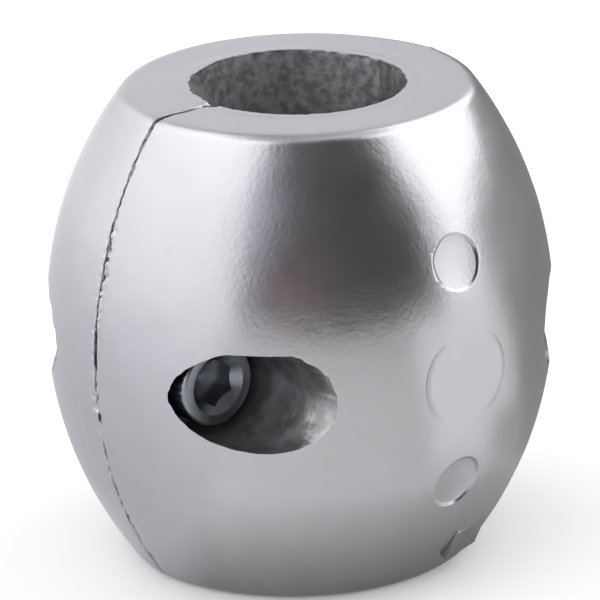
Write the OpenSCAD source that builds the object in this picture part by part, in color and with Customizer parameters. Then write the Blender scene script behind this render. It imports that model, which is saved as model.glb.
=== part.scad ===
// Split collar anode for a propeller shaft.
// Two cast zinc halves close round the shaft and are drawn together by two
// socket head screws that run in opposite directions, each into its own nut.
//
// Frame: +Z along the shaft, origin on the shaft axis at mid length.
// The halves part on the XZ plane. The front half lies towards -Y.

/* [Shaft bore] */
// Diameter of the shaft that the collar grips
bore_d = 25.4; // [22:0.1:28]

/* [Collar] */
// Length along the shaft
collar_l = 57; // [52:1:62]
// Greatest diameter, measured along the parting line
collar_d = 62; // [61:0.5:66]
// Radius of the arc that makes the barrel side
side_arc_r = 46.5; // [44:0.5:60]
// Rounding between the barrel side and the flat ends
end_round_r = 1.5; // [1:0.25:2.5]
// How far each half falls short of a half round at the parting line
split_short = 1.3; // [0.5:0.1:1.8]

/* [Screw pockets] */
// Distance of each screw from the shaft axis
screw_x = 22.4; // [22:0.1:22.8]
// Diameter of the round pockets in the barrel side
pocket_d = 12.3; // [12.1:0.1:12.6]
// Metal between the parting line and the seat under a screw head
head_seat_y = 6.25; // [5:0.25:7]
// Metal between the parting line and the seat under a nut
nut_seat_y = 4.5; // [3:0.25:5]
// Radial clearance round a screw where it passes through the zinc
hole_clearance = 0.3; // [0.1:0.05:0.5]
// Clearance on each side of a nut in its six-sided recess
nut_clearance = 0.1; // [0.05:0.05:0.2]

/* [Screws] */
// Thread diameter
screw_d = 6; // [5:0.5:6]
// Length of a screw under its head
screw_l = 20; // [18:1:22]
// Diameter of a screw head
head_d = 10; // [9:0.1:10.5]
// Height of a screw head
head_h = 6; // [5:0.25:7]
// Width across the flats of the hexagon socket
socket_af = 5; // [4:0.5:6]
// Depth of the hexagon socket
socket_depth = 3.2; // [2:0.1:4]
// Chamfer round the top of a head and at the tip of a screw
screw_chamfer = 0.5; // [0.2:0.1:0.8]

/* [Nuts] */
// Width across the flats of a nut
nut_af = 10; // [9:0.1:10.2]
// Thickness of a nut
nut_h = 5; // [4:0.25:5]
// Radial gap between a screw and the thread that it turns in
thread_gap = 0.05; // [0.02:0.01:0.1]

/* [Casting marks] */
// Diameter of the round ejector pin marks
pin_mark_d = 7; // [6:0.5:8]
// Height of the pin marks above and below mid length
pin_mark_z = 13.5; // [12:0.5:15]
// Depth of a pin mark at its middle, where the barrel bulges most
pin_mark_depth = 0.4; // [0.3:0.05:0.6]
// Diameter of the plain round pad between the pin marks
pad_d = 11.4; // [10:0.2:14]
// Depth of the pad's face below the crown of the barrel
pad_depth = 0.35; // [0.3:0.05:0.5]
// Width of the flat left where the gate was cut off, above the lower rim
gate_w = 6.4; // [5:0.2:8]
// Height of that flat, measured along it
gate_h = 4.3; // [3:0.1:5]
// Distance of its lower edge from the shaft axis
gate_r = 22.4; // [22.3:0.1:23]
// Height of its lower edge above the lower end
gate_lift = 2.4; // [2.2:0.1:3]
// Lean of the flat from upright
gate_tilt = 25; // [22:1:28]
// Direction of the flat, measured from the middle of the half
gate_angle = 16; // [5:1:30]

/* [Hidden] */
// How far cutters run past the surfaces that they cut
over = 1;
collar_r = collar_d / 2;
half_l = collar_l / 2;
// Centre of the barrel arc, on the far side of the axis
arc_x = collar_r - side_arc_r;
// Centre of the end rounding, which touches both the arc and the end face
round_z = half_l - end_round_r;
round_x = arc_x + sqrt(pow(side_arc_r - end_round_r, 2) - pow(round_z, 2));
round_a = atan2(round_z, round_x - arc_x);
// Reach of each half from the parting line
crown_y = collar_r - split_short;
pad_y = crown_y - pad_depth;
// How deep the pad and the gate are rooted in the casting
pad_root = 3;
gate_root = 4;
nut_af_recess = nut_af + 2 * nut_clearance;
// Circle through the corners of a hexagon of a given width across its flats
function hex_d(af) = af / cos(30);

// Metal outside the rounding at one corner of the barrel outline
module outline_corner() {
    reach = 3 * end_round_r;
    translate([round_x, round_z]) difference() {
        polygon([
            [0, 0],
            [reach * cos(round_a), reach * sin(round_a)],
            [2 * reach, reach],
            [0, reach]
        ]);
        circle(r = end_round_r, $fn = 96);
    }
}

// Outline that turns into the solid barrel
module barrel_outline() {
    difference() {
        intersection() {
            translate([arc_x, 0]) circle(r = side_arc_r, $fn = 180);
            translate([0, -half_l]) square([collar_r + over, collar_l]);
        }
        for (end = [0, 1])
            mirror([0, end]) outline_corner();
    }
}

// Solid barrel whose axis lies short of the parting line, for a half towards +Y
module barrel() {
    translate([0, -split_short, 0]) rotate_extrude($fn = 180) barrel_outline();
}

// Cylinder along +Y that starts at height y above the parting line
module bore_y(x, y, d, length) {
    translate([x, y, 0]) rotate([-90, 0, 0]) cylinder(d = d, h = length, $fn = 72);
}

// Six-sided prism along +Y, with a corner towards each end of the collar
module hex_y(x, y, af, length) {
    translate([x, y, 0]) rotate([-90, 0, 0]) rotate([0, 0, 30])
        cylinder(d = hex_d(af), h = length, $fn = 6);
}

// Cutter for the flat foot of a pin mark, square to the barrel side at height z
module pin_mark(z) {
    lean = asin(z / side_arc_r);
    foot_r = side_arc_r - pin_mark_depth;
    translate([0, arc_x - split_short + foot_r * cos(lean), foot_r * sin(lean)])
        rotate([lean - 90, 0, 0]) cylinder(d = pin_mark_d, h = pin_mark_depth + over, $fn = 72);
}

// Stub left where the gate was cut off, rooted in the barrel above the lower rim
module gate_stub() {
    rotate([0, 0, 90 + gate_angle]) translate([gate_r, -gate_w / 2, gate_lift - half_l])
        rotate([0, gate_tilt, 0]) translate([-gate_root, 0, 0]) cube([gate_root, gate_w, gate_h]);
}

// One casting, towards +Y, with its screw head on the +X side
module half() {
    color("gainsboro") difference() {
        union() {
            barrel();
            bore_y(0, pad_y - pad_root, pad_d, pad_root);
            gate_stub();
        }
        translate([-collar_d, -collar_d, -collar_l]) cube([2 * collar_d, collar_d, 2 * collar_l]);
        cylinder(d = bore_d, h = collar_l + 2 * over, center = true, $fn = 120);
        bore_y(screw_x, head_seat_y, pocket_d, collar_r);
        bore_y(-screw_x, nut_seat_y + nut_h, pocket_d, collar_r);
        hex_y(-screw_x, nut_seat_y, nut_af_recess, nut_h + over);
        for (side = [-1, 1])
            bore_y(side * screw_x, -over, screw_d + 2 * hole_clearance, collar_r);
        for (side = [-1, 1])
            pin_mark(side * pin_mark_z);
        bore_y(0, pad_y, pad_d, collar_r);
    }
}

// Socket head screw along Y, with its head towards +Y and its seat at y = 0
module screw() {
    color("slategray") rotate([-90, 0, 0]) difference() {
        union() {
            translate([0, 0, -screw_l])
                cylinder(d1 = screw_d - 2 * screw_chamfer, d2 = screw_d, h = screw_chamfer, $fn = 64);
            translate([0, 0, screw_chamfer - screw_l])
                cylinder(d = screw_d, h = screw_l - screw_chamfer, $fn = 64);
            cylinder(d = head_d, h = head_h - screw_chamfer, $fn = 96);
            translate([0, 0, head_h - screw_chamfer])
                cylinder(d1 = head_d, d2 = head_d - 2 * screw_chamfer, h = screw_chamfer, $fn = 96);
        }
        translate([0, 0, head_h - socket_depth])
            cylinder(d = hex_d(socket_af), h = socket_depth + over, $fn = 6);
    }
}

// Screw in its place, with its head in the half towards +Y
module seated_screw() {
    translate([screw_x, head_seat_y, 0]) screw();
}

// Hexagon nut in the recess of the half towards +Y
module seated_nut() {
    color("silver") difference() {
        hex_y(-screw_x, nut_seat_y, nut_af, nut_h);
        bore_y(-screw_x, nut_seat_y - over, screw_d + 2 * thread_gap, nut_h + 2 * over);
    }
}

// The front half and what it holds are the rear ones turned half a turn about the shaft
module turned() {
    rotate([0, 0, 180]) children();
}

module rear_half() {
    half();
}

module front_half() {
    turned() half();
}

module right_screw() {
    seated_screw();
}

module left_screw() {
    turned() seated_screw();
}

module left_nut() {
    seated_nut();
}

module right_nut() {
    turned() seated_nut();
}

front_half();
rear_half();
left_screw();
right_screw();
left_nut();
right_nut();
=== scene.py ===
import bpy
import math
import numpy as np
from mathutils import Matrix, Vector


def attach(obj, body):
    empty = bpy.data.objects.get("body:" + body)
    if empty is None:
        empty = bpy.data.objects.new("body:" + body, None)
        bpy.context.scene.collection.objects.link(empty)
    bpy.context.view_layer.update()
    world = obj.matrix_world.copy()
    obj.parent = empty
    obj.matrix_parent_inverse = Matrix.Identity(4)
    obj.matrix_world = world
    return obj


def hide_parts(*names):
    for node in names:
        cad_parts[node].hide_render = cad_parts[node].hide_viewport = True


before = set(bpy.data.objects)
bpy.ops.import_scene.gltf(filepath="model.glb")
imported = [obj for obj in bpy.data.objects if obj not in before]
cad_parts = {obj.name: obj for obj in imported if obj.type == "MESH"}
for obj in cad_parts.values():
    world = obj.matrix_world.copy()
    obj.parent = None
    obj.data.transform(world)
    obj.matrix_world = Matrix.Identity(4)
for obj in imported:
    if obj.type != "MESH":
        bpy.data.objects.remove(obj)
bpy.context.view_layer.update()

MM = 0.001

# Sizes in millimetres and degrees, as the solids have them
BORE_R = 12.7
HALF_L = 28.5
# Arc of the barrel side: its radius, and its centre beyond the shaft axis
SIDE_R = 46.5
ARC_X = -15.5
# How far each half falls short of a half round at the parting line
SHORT = 1.3
SCREW_X = 22.4
POCKET_R = 6.15
HOLE_R = 3.3
HEAD_SEAT = 6.25
NUT_SEAT = 4.5
NUT_H = 5.0
NUT_AF = 10.0
NUT_GAP = 0.1
SCREW_L = 20.0
SOCKET_AF = 5.0
PIN_Z = 13.5
PIN_R = 3.5
PIN_DEPTH = 0.4
PAD_R = 5.7
PAD_Y = 29.35
GATE_W = 6.4
GATE_H = 4.3
GATE_R = 22.4
GATE_LIFT = 2.4
GATE_ANGLE = 16

# Sizes that follow the photo a little more closely than the solids do: the rounding of the rim,
# the lean of the gate flat, and how far a screw sits off the middle of its hole
ROUND_R = 2.2
GATE_TILT = 23
SCREW_OFF = 0.2

# Centre of the rim's rounding, and the angle at which it meets the barrel side
ROUND_Z = HALF_L - ROUND_R
ROUND_X = ARC_X + math.sqrt((SIDE_R - ROUND_R) ** 2 - ROUND_Z ** 2)
ROUND_A = math.degrees(math.atan2(ROUND_Z, ROUND_X - ARC_X))
# Rounding of the bore's edges
BORE_ROUND = 0.1
# Height beyond which the barrel side counts as upright
SIDE_TOP = 27.9
# Beyond the skin of the barrel everywhere
CLEAR = 34.0
# Edges stay sharp where they turn by more than this, on the castings and on the steel
CAST_ANGLE = 38
STEEL_ANGLE = 30

# Heights on the open parting line, and how far each half stays back from it there
GAP_Z = (-28, -23, -20, -16, -13, -10, -7, -4.6, -2.5, 1, 4.5,
         6.5, 8, 10, 13, 15, 17, 20, 23, 28, 28.5)
GAP_Y = (0.24, 0.24, 0.2, 0.16, 0.22, 0.14, 0.14, 0.08, 0.16, 0.3, 0.24,
         0.08, 0.12, 0.04, 0.06, 0.1, 0.16, 0.12, 0.17, 0.22, 0.28)
# How far each half stays back where the line is tight, and the rounding of its edge there
TIGHT_GAP = 0.006
TIGHT_ROUND = 0.012
# Steps of the mesh away from the edge, where its even rows start, and how many of them there are
EDGE_STEPS = (0.1, 0.22, 0.38, 0.58, 0.85, 1.2)
EDGE_REACH = 1.7
EVEN_ROWS = 150
# Rows up the barrel side
SIDE_ROWS = 290
# Radius where the wear of a half starts, and how much further out it is full
OUTER_R = 14.0
OUTER_OVER = 5.0
# Rings along the edge that are ragged, each by its number and with its share
RAGGED = ((2, 0.7), (3, 0.9), (4, 1), (5, 1), (6, 0.9), (7, 0.7), (8, 0.45), (9, 0.2))


# Value from -1 to 1 at a point of the whole-number lattice

def lattice(i, seed):
    i = i.astype(np.int64)
    h = i[..., 0] * 374761393 + i[..., 1] * 668265263 + i[..., 2] * 1440662683 + seed * 1274126177
    h = h & 0xFFFFFFFF
    h = ((h ^ (h >> 13)) * 1103515245) & 0xFFFFFFFF
    h = ((h ^ (h >> 15)) * 668265263) & 0xFFFFFFFF
    h = h ^ (h >> 16)
    return h / 4294967295.0 * 2 - 1


# Smooth value noise, the same on every run

def noise(p, size, seed):
    q = np.asarray(p, float) / size + 100.5
    i = np.floor(q)
    f = q - i
    w = f * f * f * (f * (f * 6 - 15) + 10)
    out = 0
    for dx in (0, 1):
        for dy in (0, 1):
            for dz in (0, 1):
                corner = np.array([dx, dy, dz])
                c = lattice(i + corner, seed)
                k = corner * w + (1 - corner) * (1 - w)
                out = out + c * k[..., 0] * k[..., 1] * k[..., 2]
    return out


def angles(sides):
    return np.linspace(0, 2 * math.pi, sides, endpoint=False)


# Radius of the barrel side at a height

def barrel_r(z):
    return ARC_X + np.sqrt(SIDE_R ** 2 - np.clip(np.abs(z), 0, SIDE_TOP) ** 2)


# Reach of the barrel side from the parting plane, over a point given across and along the collar

def barrel_y(x, z):
    return np.sqrt(np.maximum(barrel_r(z) ** 2 - np.asarray(x) ** 2, 0.0)) - SHORT


# Point of the barrel side and its normal, for a half towards +Y

def side_point(x, z):
    y = float(barrel_y(x, z))
    out = np.array([x, y + SHORT]) / barrel_r(z)
    up = z / SIDE_R
    flat = math.sqrt(1 - up * up)
    return np.array([x, y, z]), np.array([out[0] * flat, out[1] * flat, up])


# New node of a material, with its settings and the values or sources of its inputs

def add(tree, kind, settings=(), inputs=()):
    made = tree.nodes.new("ShaderNode" + kind)
    for key, value in dict(settings).items():
        setattr(made, key, value)
    for key, value in dict(inputs).items():
        if isinstance(value, bpy.types.NodeSocket):
            tree.links.new(value, made.inputs[key])
        else:
            made.inputs[key].default_value = value
    return made


# Metal with cloudy roughness and tone, and two sizes of grain. Mottle and grain are the scales of
# their noise, depth is that of the grain in millimetres, and dark is the tone of the dark clouds.

def metal(name, color, rough, mottle, grain, depth, metallic=1.0, dark=0.9):
    mat = bpy.data.materials.new(name)
    mat.use_nodes = True
    tree = mat.node_tree
    shader = tree.nodes["Principled BSDF"]
    shader.inputs["Metallic"].default_value = metallic
    place = add(tree, "TexCoord").outputs["Object"]
    cloud = add(tree, "TexNoise", (), {"Scale": mottle, "Detail": 3, "Vector": place})
    spread = add(tree, "MapRange", {"interpolation_type": "SMOOTHSTEP"},
                 {"From Min": 0.3, "From Max": 0.7, "Value": cloud.outputs["Fac"]})
    dull = add(tree, "MapRange", (),
               {"To Min": rough[0], "To Max": rough[1], "Value": spread.outputs["Result"]})
    tree.links.new(dull.outputs["Result"], shader.inputs["Roughness"])
    tint = add(tree, "ValToRGB", (), {"Fac": spread.outputs["Result"]})
    tint.color_ramp.elements[0].color = tuple(c * dark for c in color) + (1,)
    tint.color_ramp.elements[1].color = tuple(color) + (1,)
    tree.links.new(tint.outputs["Color"], shader.inputs["Base Color"])
    last = None
    for scale, height in ((grain, depth), (grain * 3.1, depth * 0.3)):
        fine = add(tree, "TexNoise", (), {"Scale": scale, "Detail": 2, "Vector": place})
        bump = add(tree, "Bump", (), {"Distance": height * MM, "Height": fine.outputs["Fac"]})
        if last:
            tree.links.new(last.outputs["Normal"], bump.inputs["Normal"])
        last = bump
    tree.links.new(last.outputs["Normal"], shader.inputs["Normal"])
    return mat


zinc = metal("cast_zinc", (0.45, 0.445, 0.465), (0.24, 0.265), mottle=160, grain=1900, depth=0.014,
             dark=0.96)
# Bore walls: rougher, less metallic and streaky as cast. Their darker tone is painted shade inside the
# bore, deeper on the front half's wall than on the rear half's.
front_bore_painted_shade = metal("front_bore_painted_shade", (0.27, 0.27, 0.275), (0.4, 0.55), mottle=900, grain=1500, depth=0.07,
                   metallic=0.7, dark=0.6)
rear_bore_painted_shade = metal("rear_bore_painted_shade", (0.41, 0.415, 0.43), (0.4, 0.55), mottle=900, grain=1500, depth=0.07,
                  metallic=0.7, dark=0.6)
# Walls of the pockets, the nut recess and the holes: the cloudy mottling is as cast, and the darker tone is
# painted shade in these recesses.
pocket_zinc_painted_shade = metal("pocket_zinc_painted_shade", (0.38, 0.38, 0.385), (0.23, 0.265), mottle=420, grain=700, depth=0.05,
                    metallic=0.82, dark=0.6)
cut_zinc = metal("cut_zinc", (0.34, 0.34, 0.35), (0.3, 0.42), mottle=600, grain=1200, depth=0.03,
                 metallic=0.9, dark=0.8)
steel = metal("screw_steel", (0.24, 0.257, 0.282), (0.29, 0.35), mottle=500, grain=2500, depth=0.01)
nut_steel = metal("nut_steel", (0.42, 0.43, 0.45), (0.28, 0.38), mottle=500, grain=2500, depth=0.01)


def new_object(name, mesh):
    obj = bpy.data.objects.new(name, mesh)
    bpy.context.scene.collection.objects.link(obj)
    return obj


# Faces of a closed tube through rings of points, with a cap at either end

def tube_faces(rings, count, first=0):
    faces = []
    for i in range(rings - 1):
        q = first + i * count
        for j in range(count):
            k = (j + 1) % count
            faces.append((q + j, q + count + j, q + count + k, q + k))
    end = first + rings * count
    faces.append(tuple(range(first, first + count)))
    faces.append(tuple(range(end - 1, end - count - 1, -1)))
    return faces


# Outline of the metal in a plane through the shaft axis: radius, height and normal of each row

def section():
    rim = BORE_ROUND
    fine = 1.5
    rows = []

    def turn(radius, height, size, degrees, side):
        c, s = math.cos(math.radians(degrees)), math.sin(math.radians(degrees))
        rows.append((radius + side * size * c, height + size * s, side * c, s))

    # Rows of the bore, closer together near its ends
    steps = np.concatenate([np.linspace(0, 1, 8)[:-1] * fine, np.linspace(fine, HALF_L - rim, 22)])
    down = HALF_L - rim - steps
    for z in np.concatenate([down, -down[::-1][1:]]):
        rows.append((BORE_R, z, -1, 0))
    for a in (22.5, 45, 67.5):
        turn(BORE_R + rim, rim - HALF_L, rim, -a, -1)
    ends = BORE_R + rim + np.array([0, 0.12, 0.3, 0.6, 0.95, 1.4, 1.95, 2.6, 3.3, 4.0, 4.8, 5.7, 6.6])
    ends = np.append(ends, ROUND_X)
    for r in ends:
        rows.append((r, -HALF_L, 0, -1))
    for a in np.linspace(-90, -ROUND_A, 7)[1:-1]:
        turn(ROUND_X, -ROUND_Z, ROUND_R, a, 1)
    for a in np.linspace(-ROUND_A, ROUND_A, SIDE_ROWS):
        turn(ARC_X, 0, SIDE_R, a, 1)
    for a in np.linspace(ROUND_A, 90, 7)[1:-1]:
        turn(ROUND_X, ROUND_Z, ROUND_R, a, 1)
    for r in ends[::-1]:
        rows.append((r, HALF_L, 0, 1))
    for a in (67.5, 45, 22.5):
        turn(BORE_R + rim, HALF_L - rim, rim, a, -1)
    return np.array(rows)


# Rings of points and normals along one edge of a half at the parting line. Short is how far each
# row falls short of a half round, outer tells the outside from the bore, and sign is the side of
# the shaft. Worn is the share of wear at each height, or None where the line is tight.

def edge_rings(rows, short, outer, sign, worn, seed):
    r, z, nr, nz = rows
    base = np.stack([sign * r, 0 * r, z], -1)

    def place(y, inset):
        x = np.sqrt(np.maximum(r ** 2 - (y + short) ** 2, 0.01))
        cx, cy = x / r, (y + short) / r
        p = np.stack([sign * (x - nr * cx * inset), y, z - nz * inset], -1)
        return p, np.stack([sign * nr * cx, nr * cy, nz], -1)

    def wander(size, k):
        return noise(base, size, seed + k)

    if worn is None:
        gap = TIGHT_GAP + 0 * z
        rounding = TIGHT_ROUND + 0 * z
        rag = 0 * z
    else:
        gap = np.interp(z, GAP_Z, GAP_Y) * (1 + 0.6 * wander(2.0, 0)) + 0.08 * np.clip(wander(0.8, 7), 0, 1)
        chip = np.clip(wander(0.8, 3) * 1.8 - 0.35 + 0.7 * worn, 0, 1) * outer
        rounding = 0.1 + 0.08 * np.abs(wander(1.7, 5)) + 0.4 * chip
        # Less of it on the upper end face
        rounding = rounding * np.where(nz > 0.7, 0.4, 1)
        rag = 0.12 + 0.24 * worn
    # The groove is deepest on the upper end face, and deeper near mid height than elsewhere
    foot = rounding + np.interp(nz, (0.55, 0.75), (0.3, 1.2)) + 0.6 * np.exp(-((z - 1.5) / 3.5) ** 2)
    rings = [place(0 * r + TIGHT_GAP, foot + 0.15), place(gap * 0.7, foot), place(gap, rounding)]
    for a in (60, 30):
        c, t = math.cos(math.radians(a)), math.sin(math.radians(a))
        rings.append(place(gap + rounding * (1 - t), rounding * (1 - c)))
    rings.append(place(gap + rounding, 0 * r))
    for step in EDGE_STEPS:
        rings.append(place(gap + rounding + step, 0 * r))
    for k, share in RAGGED:
        p, n = rings[k]
        bumps = np.abs(noise(p, 0.55, seed + 13)) + 0.5 * np.abs(noise(p, 0.3, seed + 14))
        p -= n * (rag * share * bumps * outer)[:, None]
        p[:, 1] = np.maximum(p[:, 1] + rag * 0.6 * share * noise(p, 0.55, seed + 17), TIGHT_GAP)
    return rings, gap + rounding + EDGE_REACH


# Points of a half moved to give it a cast skin, a fold along the open line, a chip where that line
# meets the bore at the upper end, and jagged edges of the bore

def cast_skin(p, n, rows, outer, seed, open_side, crease):
    r, z, nr, nz = rows
    fold_y, fold_width, fold_reach = 4.6, 0.35, 16
    chip_x, chip_y, chip_drop = 12.9, 0.5, 0.4
    away = np.clip((p[..., 1:2] - 0.05) / 0.6, 0, 1)
    skin = (0.03 * noise(p, 11.0, seed + 51) + 0.016 * noise(p, 4.2, seed + 52)
            + 0.008 * noise(p, 1.7, seed + 53) - 0.05)
    bore = 0.02 * noise(p, 5.0, seed + 54) + 0.015 * noise(p, 1.9, seed + 55)
    bore = np.where(np.abs(nz) > 0.3, -0.5 * np.abs(bore), bore)
    p = p + n * np.where(outer > 0, skin, bore)[..., None] * away
    p = p - n * np.where(outer > 0, 0.01, 0)[..., None]
    fold = np.exp(-((p[..., 1] - fold_y) / fold_width) ** 2) * np.exp(-(z / fold_reach) ** 4)
    fold = fold * (p[..., 0] * open_side > 0) * (outer > 0)
    p = p - n * (crease * fold)[..., None]
    chip = np.hypot(p[..., 0] - open_side * chip_x, (p[..., 1] - chip_y) / 0.7)
    p[..., 2] -= chip_drop * np.clip(1 - chip, 0, 1) * (z > HALF_L - 0.2)
    rim = np.exp(-((HALF_L - np.abs(p[..., 2])) / 0.5) ** 2) * np.clip((14.2 - r) / 1.2, 0, 1)
    jag = rim * (0.12 * noise(p, 1.3, seed + 56) + 0.12 * noise(p, 0.6, seed + 57))
    p[..., :2] *= (1 + jag / np.hypot(p[..., 0], p[..., 1]))[..., None]
    return p


# Half of the collar towards +Y. Its edge at the parting line is worn and chipped on the side named
# open, most of all round one height, and tight on the other side.

def half_mesh(name, seed, open_side, chip_z, chip_reach, crease, bore_mat):
    rows = section().T
    r, z, nr, nz = rows
    short = SHORT * np.clip((r - BORE_R) / (ROUND_X - BORE_R), 0, 1)
    outer = np.clip((r - OUTER_R) / OUTER_OVER, 0, 1)
    worn = np.exp(-((z - chip_z) / chip_reach) ** 2)
    right, ya = edge_rings(rows, short, outer, 1, worn if open_side == 1 else None, seed + 20)
    left, yb = edge_rings(rows, short, outer, -1, worn if open_side == -1 else None, seed + 40)
    rings = right
    ta = np.arcsin(np.clip((ya + short) / r, -1, 1))
    tb = math.pi - np.arcsin(np.clip((yb + short) / r, -1, 1))
    for u in np.linspace(0, 1, EVEN_ROWS):
        t = ta + (tb - ta) * u
        p = np.stack([r * np.cos(t), r * np.sin(t) - short, z], -1)
        rings.append((p, np.stack([nr * np.cos(t), nr * np.sin(t), nz], -1)))
    rings += left[::-1]
    p = np.array([q[0] for q in rings])
    n = np.array([q[1] for q in rings])
    p = cast_skin(p, n, rows, outer, seed, open_side, crease)
    count, cols = p.shape[:2]
    faces = tube_faces(count, cols)
    mesh = bpy.data.meshes.new(name)
    mesh.from_pydata((p.reshape(-1, 3) * MM).tolist(), [], faces)
    for mat in (zinc, bore_mat, pocket_zinc_painted_shade, cut_zinc):
        mesh.materials.append(mat)
    # Faces of the bore take the bore material with its painted shade
    in_bore = (r < BORE_R + BORE_ROUND + 0.01) & (np.roll(r, -1) < BORE_R + BORE_ROUND + 0.01)
    index = np.zeros(len(faces), np.int32)
    index[:(count - 1) * cols] = np.tile(in_bore, count - 1)
    mesh.polygons.foreach_set("material_index", index)
    mesh.validate()
    return new_object(name, mesh)


# Closed solid through a stack of rings along Y. Each ring has a radius and a height, either one
# number or one for each side.

def turned(name, rings, sides, x0=0.0):
    a = angles(sides)
    p = np.array([np.stack([x0 + rad * np.cos(a), y + 0 * a, rad * np.sin(a)], -1) for rad, y in rings])
    mesh = bpy.data.meshes.new(name)
    mesh.from_pydata((p.reshape(-1, 3) * MM).tolist(), [], tube_faces(len(rings), sides))
    mesh.validate()
    return new_object(name, mesh)


def rod(radius, low, high, sides=64, x0=0.0):
    return turned("tool", [(radius, low), (radius, high)], sides, x0)


# Six-sided prism along Y, with a corner towards each end of the collar

def hexagon(af, low, high, x0=0.0):
    obj = rod(af / 2 / math.cos(math.radians(30)), low, high, 6)
    obj.data.transform(Matrix.Translation((x0 * MM, 0, 0)) @ Matrix.Rotation(math.radians(30), 4, "Y"))
    return obj


# Gives an object the mesh that its modifiers make, and drops them

def settle(obj):
    done = bpy.data.meshes.new_from_object(obj.evaluated_get(bpy.context.evaluated_depsgraph_get()))
    obj.modifiers.clear()
    old, name = obj.data, obj.data.name
    obj.data = done
    bpy.data.meshes.remove(old)
    done.name = name


# Cuts an object by a tool, or joins the two, and uses the tool up

def cut(obj, tool, mat=None, how="DIFFERENCE"):
    if mat:
        tool.data.materials.append(mat)
    mod = obj.modifiers.new("cut", "BOOLEAN")
    mod.operation = how
    mod.solver = "MANIFOLD"
    mod.material_mode = "TRANSFER"
    mod.object = tool
    settle(obj)
    spent = tool.data
    bpy.data.objects.remove(tool)
    bpy.data.meshes.remove(spent)


# Pocket with a rounded foot, rough walls and a worn rim, wider towards the crown and with a thin
# lip of flash over its upper edge. The whole tool sits a little low.

def pocket(x0, floor, seed):
    sides = 180
    drop = 0.2
    path_r = 6
    lip_z = 5.68
    edge = 0.8
    a = angles(sides)
    round_path = np.stack([path_r * np.cos(a), path_r * np.sin(a), 0 * a], -1)
    rough = 0.6 + 1.8 * np.clip(-np.cos(a), 0, 1) * np.clip(np.sin(a) + 0.1, 0, 1)
    jag = 0.08 * noise(round_path, 1.5, seed) + 0.12 * rough * noise(round_path, 0.5, seed + 1)
    flare = 0.02 + 0.33 * np.clip(-np.cos(a), 0, 1) + jag
    lip = (lip_z + 0.5 * jag) / np.maximum(np.sin(a), 0.5) - POCKET_R
    flare = np.where(np.sin(a) > 0.5, np.minimum(flare, lip), flare)
    rim = 0.12 + 0.06 * np.abs(noise(round_path, 1.0, seed + 2))
    foot = 0.35
    rings = [(POCKET_R - foot, floor)]
    for t in np.radians((30, 60, 90)):
        rings.append((POCKET_R - foot + foot * math.sin(t), floor + foot - foot * math.cos(t)))
    mouth = barrel_y(x0 + POCKET_R * np.cos(a), POCKET_R * np.sin(a))
    for u in (0.15, 0.3, 0.45, 0.6, 0.75, 0.88):
        y = floor + foot + (mouth - edge - floor - foot) * u
        path = np.stack([path_r * np.cos(a), path_r * np.sin(a), y], -1)
        rings.append((POCKET_R + 0.05 * noise(path, 1.6, seed + 3), y))
    for t in np.radians((0, 22, 45, 68, 90)):
        rad = POCKET_R + flare + rim * (1 - math.cos(t))
        y = barrel_y(x0 + rad * np.cos(a), rad * np.sin(a)) - rim * (1 - math.sin(t))
        rings.append((rad, y))
    rings.append((POCKET_R + flare + rim, CLEAR))
    obj = turned("tool", rings, sides, x0)
    obj.data.transform(Matrix.Translation((0, 0, -drop * MM)))
    return obj


# Shallow round mark of an ejector pin with soft sides at height z0, whose foot leans out of the
# tangent plane of the barrel by two slopes

def pin_mark(z0, slack, side_slack, seed):
    sides = 96
    a = angles(sides)
    lean = math.asin(z0 / SIDE_R)
    across = barrel_r(z0) / math.cos(lean)
    path = np.stack([PIN_R * np.cos(a), PIN_R * np.sin(a), 0 * a], -1)
    inner = PIN_R - 0.5 + 0.08 * noise(path, 1.6, seed)
    outer = PIN_R + 0.12 + 0.1 * noise(path, 1.8, seed + 1)
    rings = []
    for t in (0, 0.15, 0.35, 0.55, 0.75, 0.9, 1.0):
        rad = inner + (outer - inner) * t
        x, z = rad * np.cos(a), rad * np.sin(a)
        skin = -x ** 2 / (2 * across) - z ** 2 / (2 * SIDE_R)
        foot = np.minimum(skin + 0.02, slack * z + side_slack * x - PIN_DEPTH)
        blend = t * t * (3 - 2 * t)
        rings.append((rad, foot * (1 - blend) + (skin + 0.02) * blend))
    rings.append((outer + 0.05, 1.0))
    obj = turned("tool", rings, sides)
    foot = Vector((0, ARC_X - SHORT + SIDE_R * math.cos(lean), z0))
    obj.data.transform(Matrix.Translation(foot * MM) @ Matrix.Rotation(lean, 4, "X"))
    return obj


# Small round pits in the skin, each given across, along, ball radius and depth

def pits(places):
    verts, faces = [], []
    sides, bands = 10, 6
    for x, z, radius, depth in places:
        p, n = side_point(x, z)
        centre = p + n * (radius - depth)
        first = len(verts)
        for i in range(1, bands):
            t = math.pi * i / bands
            for f in angles(sides):
                ball = np.array([math.sin(t) * math.cos(f), math.sin(t) * math.sin(f), math.cos(t)])
                verts.append(tuple((centre + radius * ball) * MM))
        faces += tube_faces(bands - 1, sides, first)
    mesh = bpy.data.meshes.new("tool")
    mesh.from_pydata(verts, [], faces)
    return new_object("tool", mesh)


# Stub left where the gate was cut off, with rounded edges

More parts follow.
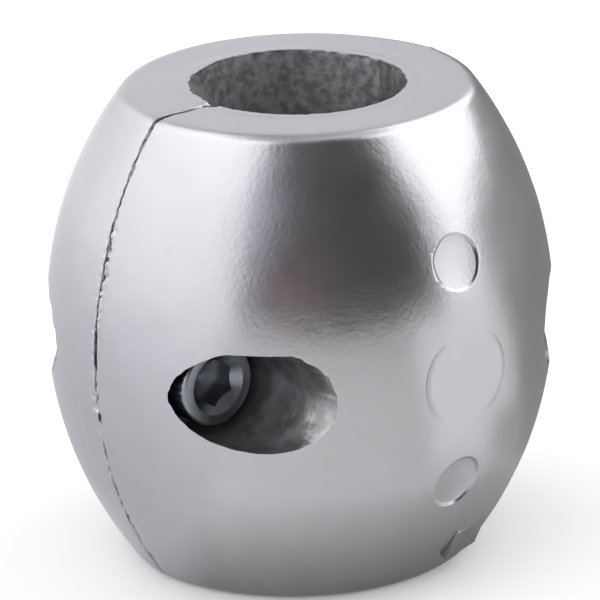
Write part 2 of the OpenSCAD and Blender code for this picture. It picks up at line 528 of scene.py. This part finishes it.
def gate_stub():
    depth = 4.0
    edge_round = 0.3
    mesh = bpy.data.meshes.new("tool")
    half = Vector((depth, GATE_W, GATE_H)) * MM / 2
    corners = [(a * half.x, b * half.y, c * half.z) for a in (-1, 1) for b in (-1, 1) for c in (-1, 1)]
    sides = [(0, 1, 3, 2), (4, 6, 7, 5), (0, 4, 5, 1), (2, 3, 7, 6), (0, 2, 6, 4), (1, 5, 7, 3)]
    mesh.from_pydata(corners, [], sides)
    obj = new_object("tool", mesh)
    mod = obj.modifiers.new("round", "BEVEL")
    mod.width = edge_round * MM
    mod.segments = 3
    settle(obj)
    obj.data.transform(Matrix.Rotation(math.radians(90 + GATE_ANGLE), 4, "Z")
                       @ Matrix.Translation(Vector((GATE_R, 0, GATE_LIFT - HALF_L)) * MM)
                       @ Matrix.Rotation(math.radians(GATE_TILT), 4, "Y")
                       @ Matrix.Translation(Vector((-depth / 2, 0, GATE_H / 2)) * MM))
    return obj


# Turns a piece half a turn about the shaft where that is asked, and shades it smooth up to an angle

def finish_mesh(obj, turn, angle):
    if turn:
        obj.data.transform(Matrix.Rotation(math.pi, 4, "Z"))
    obj.data.shade_smooth()
    obj.data.set_sharp_from_angle(angle=math.radians(angle))
    return obj


# A whole casting: the half with its pad, gate stub, pockets, nut recess, holes, pin marks and pits

def make_half(name, seed, turn, chip_z, chip_reach, crease, bore_mat, pit_places):
    obj = half_mesh(name, seed, 1 if turn else -1, chip_z, chip_reach, crease, bore_mat)
    # Pad: the crown is cut down to just under its face, and a disc with a soft edge is let in
    cut(obj, rod(PAD_R + 0.2, PAD_Y - 0.02, CLEAR, 120), zinc)
    pad = [(PAD_R + 0.3, PAD_Y - 3), (PAD_R + 0.3, PAD_Y - 0.2), (PAD_R, PAD_Y - 0.11),
           (PAD_R - 0.4, PAD_Y - 0.03), (PAD_R - 0.8, PAD_Y)]
    cut(obj, turned("tool", pad, 120), zinc, "UNION")
    cut(obj, gate_stub(), cut_zinc, "UNION")
    # The walls these cuts leave take the painted shade of the recesses
    cut(obj, pocket(SCREW_X, HEAD_SEAT, seed + 61), pocket_zinc_painted_shade)
    cut(obj, pocket(-SCREW_X, NUT_SEAT + NUT_H, seed + 71), pocket_zinc_painted_shade)
    cut(obj, hexagon(NUT_AF + 2 * NUT_GAP, NUT_SEAT, NUT_SEAT + NUT_H + 1, -SCREW_X), pocket_zinc_painted_shade)
    cut(obj, rod(HOLE_R, -1, HEAD_SEAT + 1, x0=SCREW_X), pocket_zinc_painted_shade)
    cut(obj, rod(HOLE_R, -1, NUT_SEAT + 1, x0=-SCREW_X), pocket_zinc_painted_shade)
    cut(obj, pin_mark(PIN_Z, -0.015, 0.0, seed + 81), zinc)
    cut(obj, pin_mark(-PIN_Z, 0.02, 0.045, seed + 82), zinc)
    cut(obj, pits(pit_places), zinc)
    return finish_mesh(obj, turn, CAST_ANGLE)


# Socket head screw with its seat at y = 0 and its head towards +Y

def make_screw(name, turn):
    sides = 192
    a = angles(sides)
    shank_r, head_r, pitch, depth = 2.98, 5.0, 1.0, 0.55
    knurls, knurl_depth = 16, 0.16
    rings = []
    for y in np.arange(-SCREW_L, -1.6, pitch / 8):
        phase = (y / pitch - a / (2 * math.pi)) % 1.0
        crest = np.clip((np.abs(phase - 0.5) * 2 - 0.12) / 0.76, 0, 1)
        taper = 2.45 + 0.53 * np.clip((y + SCREW_L) / 0.8, 0, 1)
        rings.append((np.minimum(shank_r - depth * crest, taper), y))
    rings += [(shank_r, -1.5), (shank_r, -0.25), (3.2, 0.0), (4.8, 0.0), (head_r, 0.15)]
    rings += [(head_r - knurl_depth * np.abs(np.sin(a * knurls)), y) for y in (0.4, 2.6, 5.1)]
    rings += [(4.97, 5.45), (4.93, 5.7), (4.84, 5.87), (4.7, 5.97), (4.55, 6.0)]
    obj = turned(name, rings, sides)
    cut(obj, hexagon(SOCKET_AF, 2.8, 7.0))
    cut(obj, turned("tool", [(2.35, 4.75), (3.95, 6.35)], 64))
    cut(obj, turned("tool", [(0.2, 2.1), (2.45, 2.9)], 48))
    obj.data.transform(Matrix.Translation(Vector((SCREW_X + SCREW_OFF, HEAD_SEAT, 0)) * MM))
    return finish_mesh(obj, turn, STEEL_ANGLE)


# Hexagon nut with chamfered corners, seated in its recess

def make_nut(name, turn):
    obj = hexagon(NUT_AF, 0, NUT_H)
    obj.name = obj.data.name = name
    hole_r = 3.04
    chamfers = [(5.0, 0.0), (5.9, 0.5), (5.9, NUT_H - 0.5), (5.0, NUT_H)]
    cut(obj, turned("tool", chamfers, 96), how="INTERSECT")
    cut(obj, rod(hole_r, -1, NUT_H + 1))
    cut(obj, turned("tool", [(2.4, NUT_H - 0.6), (3.4, NUT_H + 0.3)], 64))
    obj.data.transform(Matrix.Translation(Vector((-SCREW_X, NUT_SEAT, 0)) * MM))
    return finish_mesh(obj, turn, STEEL_ANGLE)


# Puts a piece on the body, in the place of the node that it stands for, with one material if given

def dress(obj, node, mat=None):
    if mat:
        obj.data.materials.clear()
        obj.data.materials.append(mat)
        obj.data.polygons.foreach_set("material_index", np.zeros(len(obj.data.polygons), np.int32))
    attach(obj, "root")
    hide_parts(node)


front_pits = ((14.2, 0.9, 0.5, 0.09), (25.6, -13.7, 0.5, 0.14), (24.4, -22.0, 0.5, 0.12),
              (28.1, -9.9, 0.6, 0.14), (27.4, -15.1, 0.5, 0.12), (26.6, -12.6, 0.4, 0.1),
              (18.0, 21.0, 0.5, 0.06), (9.0, -18.5, 0.5, 0.06), (-6.0, -8.0, 0.4, 0.05))
rear_pits = ((-12.0, 12.0, 0.5, 0.08), (8.0, -9.0, 0.6, 0.08), (-17.0, -16.0, 0.5, 0.07),
             (15.0, 17.0, 0.5, 0.06))
front_casting = make_half("front_casting", 1000, True, chip_z=12.0, chip_reach=4.5, crease=0.0,
                          bore_mat=front_bore_painted_shade, pit_places=front_pits)
dress(front_casting, "front_half")
rear_casting = make_half("rear_casting", 2000, False, chip_z=-5.5, chip_reach=3.5, crease=0.06,
                         bore_mat=rear_bore_painted_shade, pit_places=rear_pits)
dress(rear_casting, "rear_half")
dress(make_screw("left_socket_screw", True), "left_screw", steel)
dress(make_screw("right_socket_screw", False), "right_screw", steel)
dress(make_nut("left_hex_nut", False), "left_nut", nut_steel)
dress(make_nut("right_hex_nut", True), "right_nut", nut_steel)


# Camera: its place round and above the collar, a slight roll, its distance in metres, its lens,
# and the shift of its picture

AZ, EL, ROLL = math.radians(-40.0), math.radians(20.529), math.radians(-0.756)
DIST = 0.4962
LENS = 250.35
SHIFT = (-0.0009, 0.01675)
OUT = Vector((math.sin(AZ) * math.cos(EL), -math.cos(AZ) * math.cos(EL), math.sin(EL)))

cam_data = bpy.data.cameras.new("camera")
cam = bpy.data.objects.new("camera", cam_data)
bpy.context.scene.collection.objects.link(cam)
flat_right = Vector((math.cos(AZ), math.sin(AZ), 0))
flat_up = OUT.cross(flat_right)
cam_right = math.cos(ROLL) * flat_right + math.sin(ROLL) * flat_up
cam_up = -math.sin(ROLL) * flat_right + math.cos(ROLL) * flat_up
cam_turn = Matrix((cam_right, cam_up, OUT)).transposed().to_4x4()
cam.matrix_world = Matrix.Translation(OUT * DIST) @ cam_turn
cam_data.sensor_width = 36
cam_data.lens = LENS
cam_data.shift_x, cam_data.shift_y = SHIFT
cam_data.clip_start = 0.01
cam_data.clip_end = 20
bpy.context.scene.camera = cam


# Pale floor: its grey, and how much it glows where the camera sees it and where the metal mirrors it
FLOOR_TONE = 0.68
FLOOR_SEEN = 0.16
FLOOR_MIRRORED = 0.05


def floor_material():
    mat = bpy.data.materials.new("pale_floor")
    mat.use_nodes = True
    tree = mat.node_tree
    tree.nodes.clear()
    out = add(tree, "OutputMaterial")
    diffuse = add(tree, "BsdfDiffuse", (), {"Color": (FLOOR_TONE, FLOOR_TONE, FLOOR_TONE, 1)})
    path = add(tree, "LightPath")
    seen = add(tree, "Math", {"operation": "MULTIPLY"}, {0: path.outputs["Is Camera Ray"], 1: FLOOR_SEEN})
    mirrored = add(tree, "Math", {"operation": "MULTIPLY_ADD"},
                   {0: path.outputs["Is Glossy Ray"], 1: FLOOR_MIRRORED, 2: seen.outputs[0]})
    glow = add(tree, "Emission", (), {"Strength": mirrored.outputs[0]})
    both = add(tree, "AddShader", (), {0: diffuse.outputs[0], 1: glow.outputs[0]})
    tree.links.new(both.outputs[0], out.inputs["Surface"])
    return mat


FLOOR_Z = -HALF_L * MM
FLOOR_REACH = 3
floor_corners = [(x * FLOOR_REACH, y * FLOOR_REACH, FLOOR_Z)
                 for x, y in ((-1, -1), (1, -1), (1, 1), (-1, 1))]
floor_mesh = bpy.data.meshes.new("floor")
floor_mesh.from_pydata(floor_corners, [], [(0, 1, 2, 3)])
floor_mesh.materials.append(floor_material())
new_object("floor", floor_mesh)


# A direction turned from the camera's by an angle to its right, at a height above the horizon

def aim(right, up):
    t = AZ + math.radians(right)
    e = math.radians(up)
    return Vector((math.sin(t) * math.cos(e), -math.cos(t) * math.cos(e), math.sin(e)))


# Output that mixes a glow with a clear shader towards all four edges of a card, over a share of
# its width and height

def faded(tree, split, glow, soft):
    shares = []
    for axis in ("X", "Y"):
        off = add(tree, "Math", {"operation": "SUBTRACT"}, {0: split.outputs[axis], 1: 0.5})
        far = add(tree, "Math", {"operation": "ABSOLUTE"}, {0: off.outputs[0]})
        ramp = add(tree, "MapRange", {"interpolation_type": "SMOOTHSTEP"},
                   {"From Min": 0.5, "From Max": 0.5 - soft, "Value": far.outputs[0]})
        shares.append(ramp.outputs["Result"])
    both = add(tree, "Math", {"operation": "MULTIPLY"}, {0: shares[0], 1: shares[1]})
    clear = add(tree, "BsdfTransparent")
    mix = add(tree, "MixShader", (), {0: both.outputs[0], 1: clear.outputs[0], 2: glow.outputs[0]})
    return mix.outputs[0]


# Glow whose strength runs evenly between the lower left, lower right, upper left and upper right
# corners of a card

def card_material(name, strength, color, soft):
    mat = bpy.data.materials.new(name)
    mat.use_nodes = True
    tree = mat.node_tree
    tree.nodes.clear()
    out = add(tree, "OutputMaterial")
    place = add(tree, "TexCoord")
    split = add(tree, "SeparateXYZ", (), {0: place.outputs["UV"]})
    low, high = (add(tree, "MapRange", (), {"To Min": left, "To Max": right, "Value": split.outputs["X"]})
                 for left, right in (strength[:2], strength[2:]))
    grade = add(tree, "MapRange", (), {"To Min": low.outputs["Result"], "To Max": high.outputs["Result"],
                                       "Value": split.outputs["Y"]})
    glow = add(tree, "Emission", (), {"Color": tuple(color) + (1,), "Strength": grade.outputs["Result"]})
    surface = faded(tree, split, glow, soft) if soft else glow.outputs[0]
    tree.links.new(surface, out.inputs["Surface"])
    return mat


# Glowing card whose points are a function of two fractions. One that is no lamp shows only as a
# reflection in the metal.

def card(name, point, strength, color=(1, 1, 1), lamp=False, soft=0.0):
    steps = 12
    wide = steps + 1
    g = np.linspace(0, 1, wide)
    verts = [tuple(point(u, v)) for v in g for u in g]
    faces = []
    for j in range(steps):
        for i in range(steps):
            k = j * wide + i
            faces.append((k, k + 1, k + wide + 1, k + wide))
    mesh = bpy.data.meshes.new(name)
    mesh.from_pydata(verts, [], faces)
    uv = mesh.uv_layers.new(name="UVMap")
    for loop in mesh.loops:
        k = loop.vertex_index
        uv.data[loop.index].uv = (k % wide / steps, k // wide / steps)
    mesh.materials.append(card_material(name, strength, color, soft))
    obj = new_object(name, mesh)
    obj.visible_camera = False
    if not lamp:
        obj.visible_diffuse = False
        obj.visible_shadow = False


# Standing card, with its lower left, lower right, upper left and upper right corners given in
# degrees to the right of the camera and above the horizon, past 90 where it leans back overhead

def wall(name, corners, dist, strength, **more):
    a, b, c, d = (np.array(q, float) for q in corners)

    def point(u, v):
        right, up = (a * (1 - u) + b * u) * (1 - v) + (c * (1 - u) + d * u) * v
        return aim(right, up) * dist
    card(name, point, strength, **more)


# Card lying just above the floor, between two directions in degrees to the right of the camera and
# two distances in metres from the shaft axis. Its lift in millimetres keeps it clear of the others.

def board(name, left, right, near, far, lift, strength, **more):
    def point(u, v):
        d = aim(left + (right - left) * u, 0) * (near * (far / near) ** v)
        return Vector((d.x, d.y, FLOOR_Z + lift * MM))
    card(name, point, strength, **more)


# The two soft lamps, and what the metal mirrors of the room
wall("left_softbox", ((-150, -1), (-25, -1), (-150, 72), (-17, 72)), 1.2, (1.55, 1.55, 2.5, 2.5),
     color=(0.99, 0.985, 1.0), lamp=True)
wall("left_shade", ((-156, -30), (-106, -30), (-156, 80), (-106, 80)), 1.1, (1.0, 1.2, 1.6, 2.7),
     color=(0.98, 0.985, 1.0), soft=0.25)
wall("right_softbox", ((76, 12), (152, 12), (64, 58), (152, 62)), 1.2, (2.5, 2.5, 2.5, 2.5), lamp=True)
wall("ceiling", ((-70, 64), (90, 60), (-70, 140), (70, 140)), 1.25, (0.74, 0.4, 0.8, 0.5),
     color=(1.0, 0.985, 0.95), soft=0.3)
wall("dark_flag", ((-24, 2), (68, -4.5), (-16, 70), (62, 70)), 1.15, (0.18, 0.03, 0.18, 0.03),
     color=(1.0, 0.98, 0.96))
wall("cool_strip", ((-36, 0), (-6, 2), (-28, 70), (2, 70)), 1.1, (0.7, 0.7, 0.8, 0.8),
     color=(0.9, 0.97, 1.1), soft=0.5)
wall("warm_spot", ((-18, 0), (18, 0), (-18, 24), (18, 24)), 1.05, (0.26, 0.26, 0.26, 0.26),
     color=(1.0, 0.55, 0.55), soft=0.5)
wall("low_window", ((64, -3), (94, -3), (66, 15), (94, 15)), 0.6, (1.7, 1.7, 2.1, 2.1), soft=0.25)
wall("low_flag", ((88, -5), (182, -5), (88, 17), (182, 17)), 0.4, (0.6, 0.14, 0.58, 0.2), soft=0.14)

# Cards on the table that only the metal mirrors: painted reflection of the lit table, darker near the
# collar, and painted shadow of the collar on it round its foot and to its right
board("left_board", -160, -24, 0.022, 1.2, 0.1, (0.45, 0.9, 1.4, 1.7), color=(0.98, 0.985, 1.03), soft=0.12)
board("front_board", -34, 58, 0.03, 1.2, 0.2, (1.18, 0.92, 1.0, 0.8), soft=0.12)
board("mid_board", 46, 104, 0.034, 1.2, 0.3, (1.3, 1.05, 1.5, 1.4), soft=0.15)
# Painted shadow of the collar on the table, seen only in the metal
board("right_painted_shadow", 90, 190, 0.022, 0.7, 0.4, (0.45, 0.12, 0.5, 0.24), soft=0.13)
board("side_painted_shade", 72, 112, 0.03, 0.075, 0.45, (0.65, 0.5, 0.75, 0.5), soft=0.4)
board("foot_painted_shadow", -48, 150, 0.0192, 0.038, 0.5, (0.2, 0.15, 1.1, 0.4), soft=0.1)

# Light from everywhere
WORLD_COLOR = (0.97, 0.97, 1.0, 1)
WORLD_STRENGTH = 1.05

world = bpy.data.worlds.new("studio")
bpy.context.scene.world = world
world.use_nodes = True
back = world.node_tree.nodes["Background"]
back.inputs["Color"].default_value = WORLD_COLOR
back.inputs["Strength"].default_value = WORLD_STRENGTH
bpy.context.scene.view_settings.view_transform = "Standard"
